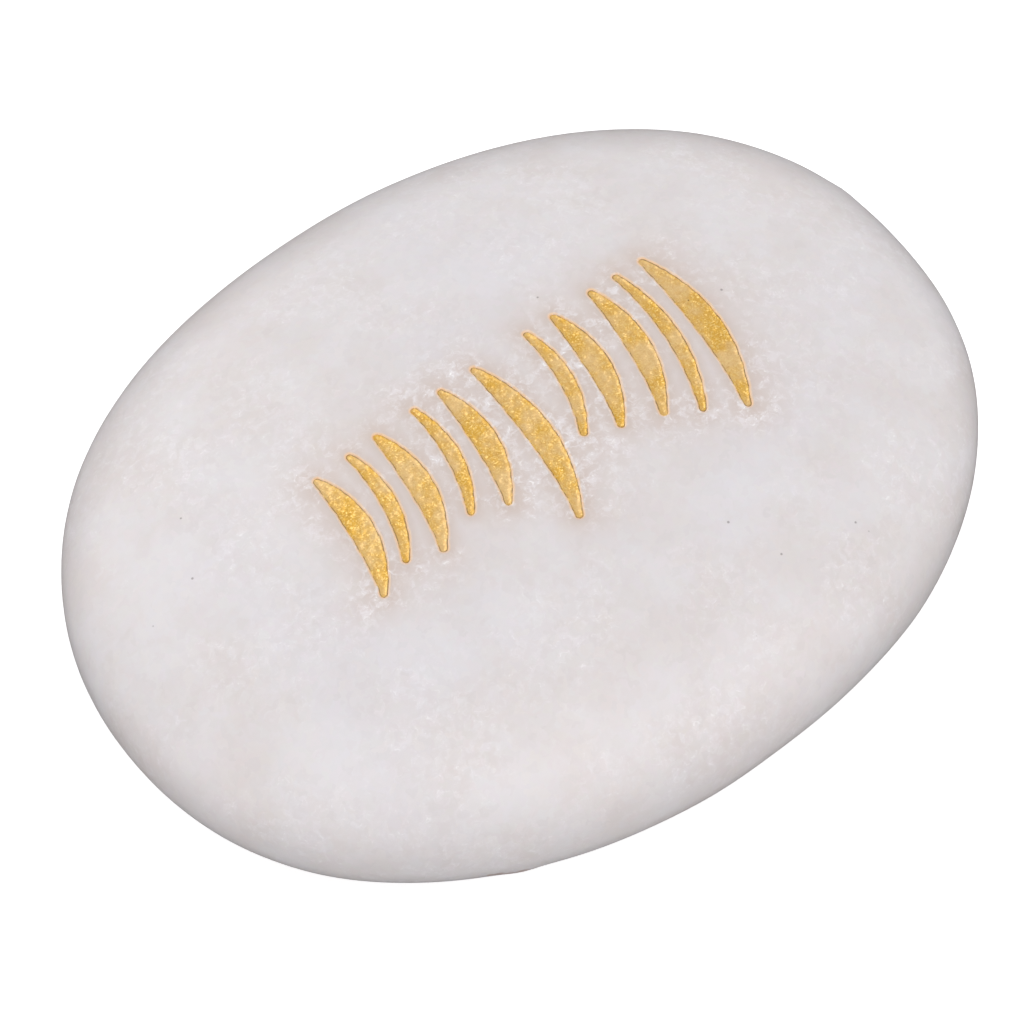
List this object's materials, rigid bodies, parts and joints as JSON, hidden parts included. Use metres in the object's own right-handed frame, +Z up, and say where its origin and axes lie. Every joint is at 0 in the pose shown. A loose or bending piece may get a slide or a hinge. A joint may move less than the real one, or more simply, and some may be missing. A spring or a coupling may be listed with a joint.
{
  "type": "engraved inspirational stone",
  "caption": "Flat oval marble pebble, tumbled smooth, with a row of shallow gold-painted strokes engraved on its top face. Rests on a small flat underside.",
  "frame": {"origin": "middle of the pebble's box on the plane it rests on", "axes": "+X along the pebble's length and along the row of strokes, +Y the way the strokes rise, +Z up out of the engraved face"},
  "size_m": [0.0598, 0.0468, 0.017],
  "materials": {
    "white_marble": "tumbled satin white crystalline marble with faint cloudy patches",
    "gold_paint": "grainy metallic gold paint in the engraved strokes"
  },
  "bodies": {
    "root": {"stone": "white_marble"}
  },
  "joints": []
}
